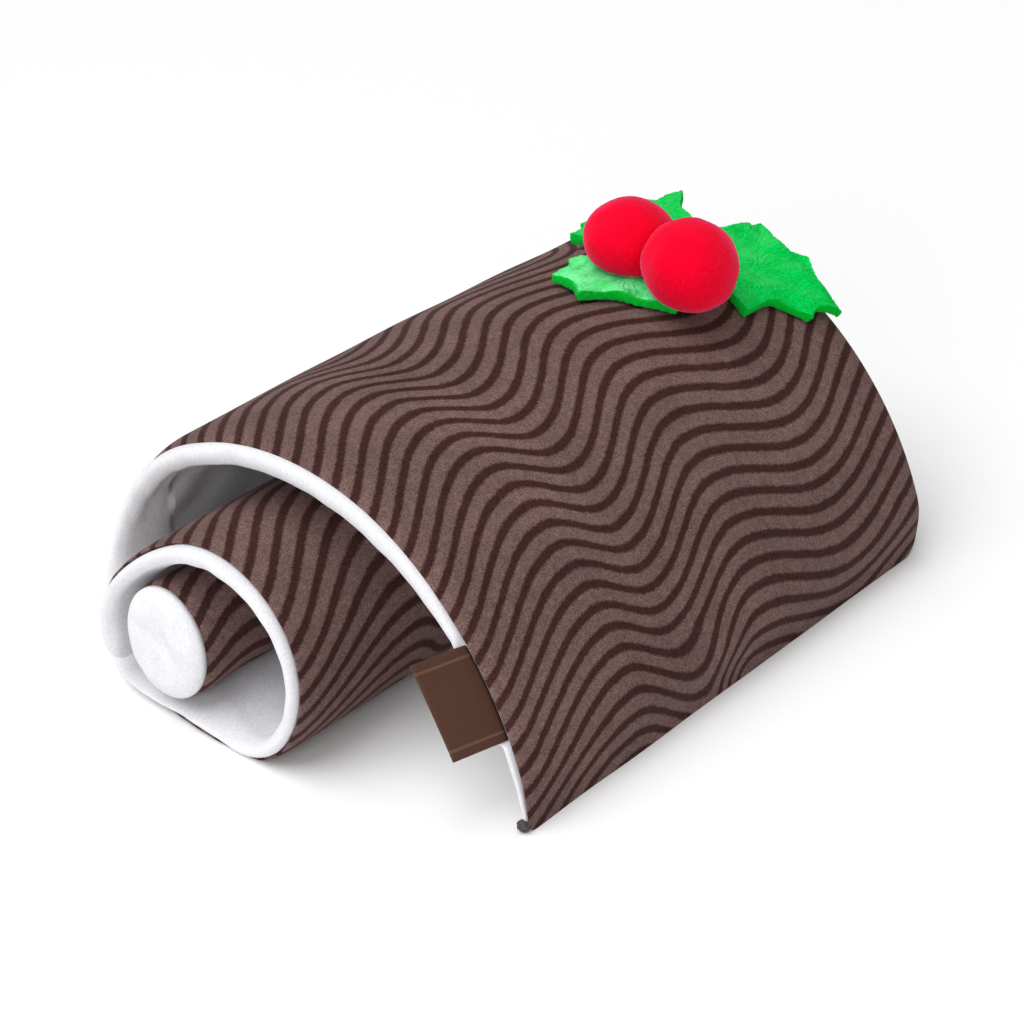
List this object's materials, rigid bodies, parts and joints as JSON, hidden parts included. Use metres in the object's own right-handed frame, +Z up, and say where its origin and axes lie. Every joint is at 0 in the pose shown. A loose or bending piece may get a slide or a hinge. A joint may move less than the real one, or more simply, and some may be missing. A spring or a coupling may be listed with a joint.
{
  "type": "plush toy yule log",
  "caption": "Stuffed toy yule log: a padded plush sheet rolled into an open coil round a soft core, with stuffed berries and felt holly leaves on top.",
  "frame": {"origin": "on the ground, below the middle of the whole toy's box", "axes": "+X along the roll, from the end where the inner coil stands out to the far end; +Y across the roll, away from the open flap; +Z up"},
  "size_m": [0.2482, 0.1702, 0.1254],
  "materials": {
    "brown_plush": "short brown plush printed with dark wavy lines along the roll",
    "white_plush": "soft off-white short plush",
    "red_velvet": "bright red velvet with a pale sheen at the edges",
    "green_felt": "thick fuzzy green felt",
    "label_ribbon": "plain dark brown woven ribbon"
  },
  "bodies": {
    "root": {"cover": "brown_plush", "lining": "white_plush", "core": "brown_plush", "core_end_near": "white_plush", "core_end_far": "white_plush", "berry_left": "red_velvet", "berry_right": "red_velvet", "leaf_front": "green_felt", "leaf_right": "green_felt", "leaf_back": "green_felt", "label": "label_ribbon"}
  },
  "joints": []
}
